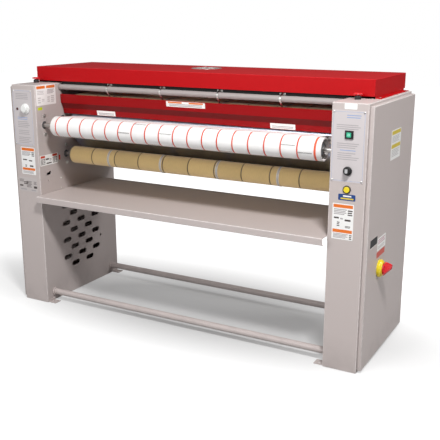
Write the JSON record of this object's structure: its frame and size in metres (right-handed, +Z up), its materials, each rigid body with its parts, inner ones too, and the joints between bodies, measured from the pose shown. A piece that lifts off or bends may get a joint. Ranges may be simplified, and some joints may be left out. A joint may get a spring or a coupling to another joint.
{
  "type": "flatwork ironer",
  "caption": "Free-standing flatwork ironer: two cabinets carry feed belts, a hinged finger guard, a heated cylinder wrapped by felt belts, a delivery tray and a red hood with exhaust outlet.",
  "frame": {"origin": "on the floor, in the middle of the four floor anchor holes, halfway between the two cabinets", "axes": "+X along the rolls to the right cabinet, +Y from the feeding side to the rear, +Z up"},
  "size_m": [2.0114, 0.702, 1.263],
  "materials": {
    "cabinet_paint": "satin grey powder coat",
    "red_paint": "satin red powder coat",
    "galvanised": "dull zinc",
    "steel": "machined",
    "dark_steel": "dark",
    "cast_grey": "painted casting",
    "roll_cover": "white roll covering",
    "feed_belt": "white woven belt",
    "iron_belt": "tan needle felt",
    "tape": "silver tape",
    "black_paint": "satin black",
    "black_plastic": "matt",
    "dark_plastic": "matt",
    "white_plastic": "gloss",
    "overlay": "printed film without print",
    "green_plastic": "gloss",
    "yellow_plastic": "gloss",
    "red_plastic": "gloss",
    "motor_paint": "gloss blue-grey"
  },
  "bodies": {
    "frame": {"left_cabinet": "cabinet_paint", "right_cabinet": "cabinet_paint", "door_hinges": "steel", "hood": "red_paint", "exhaust_collar": "galvanised", "crossbar": "cabinet_paint", "tape_bar": "black_paint", "tape_guides": "steel", "delivery_tray": "cabinet_paint", "tie_tubes": "cabinet_paint", "anchor_brackets": "cabinet_paint", "rear_cover": "cabinet_paint", "cover_screws": "steel", "feed_belts": "feed_belt", "ironing_belts": "iron_belt", "guide_tapes": "tape", "heater_rods": "dark_steel", "heater_brackets": "steel", "roll_bearings": "cast_grey", "cylinder_bearings": "cast_grey", "bearing_bolts": "steel", "gear_reducer": "motor_paint", "drive_motor": "motor_paint", "motor_bracket": "steel", "drive_chain": "dark_steel", "feed_chain": "dark_steel", "left_control_panel": "overlay", "right_control_panel": "overlay", "pilot_lamp": "red_plastic", "button_bezels": "black_plastic", "switch_bodies": "dark_plastic", "stop_bases": "black_plastic", "electrical_plate": "galvanised", "contactors": "dark_plastic", "guard_switch": "dark_plastic", "cable_gland": "black_plastic"},
    "left_door": {"left_door": "cabinet_paint"},
    "right_door": {"right_door": "cabinet_paint", "main_isolator": "yellow_plastic"},
    "left_latch": {"left_latch": "black_plastic"},
    "right_latch": {"right_latch": "black_plastic"},
    "isolator_handle": {"isolator_handle": "red_plastic"},
    "finger_guard": {"finger_guard": "red_paint", "guard_pins": "steel"},
    "cylinder": {"heated_cylinder": "dark_steel", "cylinder_sprocket": "dark_steel"},
    "feed_roll": {"feed_roll": "roll_cover", "feed_sprocket": "dark_steel"},
    "nose_roller": {"nose_roller": "steel"},
    "front_belt_roll": {"front_belt_roll": "steel"},
    "nip_roller": {"nip_roller": "steel"},
    "upper_rear_roller": {"upper_rear_roller": "steel"},
    "lower_rear_roller": {"lower_rear_roller": "steel"},
    "drive_output": {"drive_sprocket": "dark_steel"},
    "thermostat_knob": {"thermostat_knob": "white_plastic"},
    "speed_knob": {"speed_knob": "black_plastic"},
    "start_button": {"start_button": "green_plastic"},
    "jog_button": {"jog_button": "yellow_plastic"},
    "left_stop_button": {"left_stop_button": "red_plastic"},
    "right_stop_button": {"right_stop_button": "red_plastic"}
  },
  "joints": [
    {"name": "cylinder_spin", "type": "hinge", "parent": "frame", "child": "cylinder", "pos_m": [0, 0.066, 0.96], "axis": [1, 0, 0], "continuous": true},
    {"name": "feed_roll_spin", "type": "hinge", "parent": "frame", "child": "feed_roll", "pos_m": [0, -0.259, 0.971], "axis": [1, 0, 0], "continuous": true},
    {"name": "nose_roller_spin", "type": "hinge", "parent": "frame", "child": "nose_roller", "pos_m": [0, -0.11376, 0.98847], "axis": [1, 0, 0], "continuous": true},
    {"name": "front_belt_roll_spin", "type": "hinge", "parent": "frame", "child": "front_belt_roll", "pos_m": [0, -0.101, 0.7975], "axis": [1, 0, 0], "continuous": true},
    {"name": "nip_roller_spin", "type": "hinge", "parent": "frame", "child": "nip_roller", "pos_m": [0, -0.06411, 1.09011], "axis": [1, 0, 0], "continuous": true},
    {"name": "upper_rear_roller_spin", "type": "hinge", "parent": "frame", "child": "upper_rear_roller", "pos_m": [0, 0.256, 1.105], "axis": [1, 0, 0], "continuous": true},
    {"name": "lower_rear_roller_spin", "type": "hinge", "parent": "frame", "child": "lower_rear_roller", "pos_m": [0, 0.256, 0.775], "axis": [1, 0, 0], "continuous": true},
    {"name": "drive_output_spin", "type": "hinge", "parent": "frame", "child": "drive_output", "pos_m": [0, 0.011, 0.5], "axis": [1, 0, 0], "continuous": true},
    {"name": "finger_guard_pivot", "type": "hinge", "parent": "frame", "child": "finger_guard", "pos_m": [0, -0.119, 1.112], "axis": [1, 0, 0], "range_deg": [-15, 10], "stiffness_Nm_per_rad": 8},
    {"name": "left_door_hinge", "type": "hinge", "parent": "frame", "child": "left_door", "pos_m": [-0.9675, 0.32, 0.59], "axis": [0, 0, -1], "range_deg": [0, 100]},
    {"name": "right_door_hinge", "type": "hinge", "parent": "frame", "child": "right_door", "pos_m": [0.9675, 0.32, 0.59], "axis": [0, 0, 1], "range_deg": [0, 100]},
    {"name": "left_latch_pivot", "type": "hinge", "parent": "left_door", "child": "left_latch", "pos_m": [-0.9735, -0.263, 0.58], "axis": [0, 0, 1], "range_deg": [0, 35], "stiffness_Nm_per_rad": 0.1, "springref_deg": -5.73},
    {"name": "right_latch_pivot", "type": "hinge", "parent": "right_door", "child": "right_latch", "pos_m": [0.9735, -0.263, 0.58], "axis": [0, 0, -1], "range_deg": [0, 35], "stiffness_Nm_per_rad": 0.1, "springref_deg": -5.73},
    {"name": "isolator_turn", "type": "hinge", "parent": "right_door", "child": "isolator_handle", "pos_m": [0.977, -0.122, 0.436], "axis": [1, 0, 0], "range_deg": [0, 90]},
    {"name": "thermostat_turn", "type": "hinge", "parent": "frame", "child": "thermostat_knob", "pos_m": [-0.8675, -0.319, 1.058], "axis": [0, 1, 0], "range_deg": [0, 270]},
    {"name": "speed_turn", "type": "hinge", "parent": "frame", "child": "speed_knob", "pos_m": [0.8795, -0.319, 0.901], "axis": [0, 1, 0], "range_deg": [0, 270]},
    {"name": "start_press", "type": "slide", "parent": "frame", "child": "start_button", "axis": [0, 1, 0], "range_m": [0, 0.003], "stiffness_N_per_m": 600, "springref_m": -0.001},
    {"name": "jog_press", "type": "slide", "parent": "frame", "child": "jog_button", "axis": [0, 1, 0], "range_m": [0, 0.003], "stiffness_N_per_m": 600, "springref_m": -0.001},
    {"name": "left_stop_press", "type": "slide", "parent": "frame", "child": "left_stop_button", "axis": [0, 0, -1], "range_m": [0, 0.004]},
    {"name": "right_stop_press", "type": "slide", "parent": "frame", "child": "right_stop_button", "axis": [0, 0, -1], "range_m": [0, 0.004]}
  ],
  "couplings": [
    {"joint": "drive_output_spin", "follows": "cylinder_spin", "ratio": 2.9231},
    {"joint": "feed_roll_spin", "follows": "cylinder_spin", "ratio": 2.9231},
    {"joint": "nose_roller_spin", "follows": "cylinder_spin", "ratio": 7.655},
    {"joint": "front_belt_roll_spin", "follows": "cylinder_spin", "ratio": -3.5046},
    {"joint": "nip_roller_spin", "follows": "cylinder_spin", "ratio": -5.7276},
    {"joint": "upper_rear_roller_spin", "follows": "cylinder_spin", "ratio": -5.7276},
    {"joint": "lower_rear_roller_spin", "follows": "cylinder_spin", "ratio": -5.7276}
  ]
}
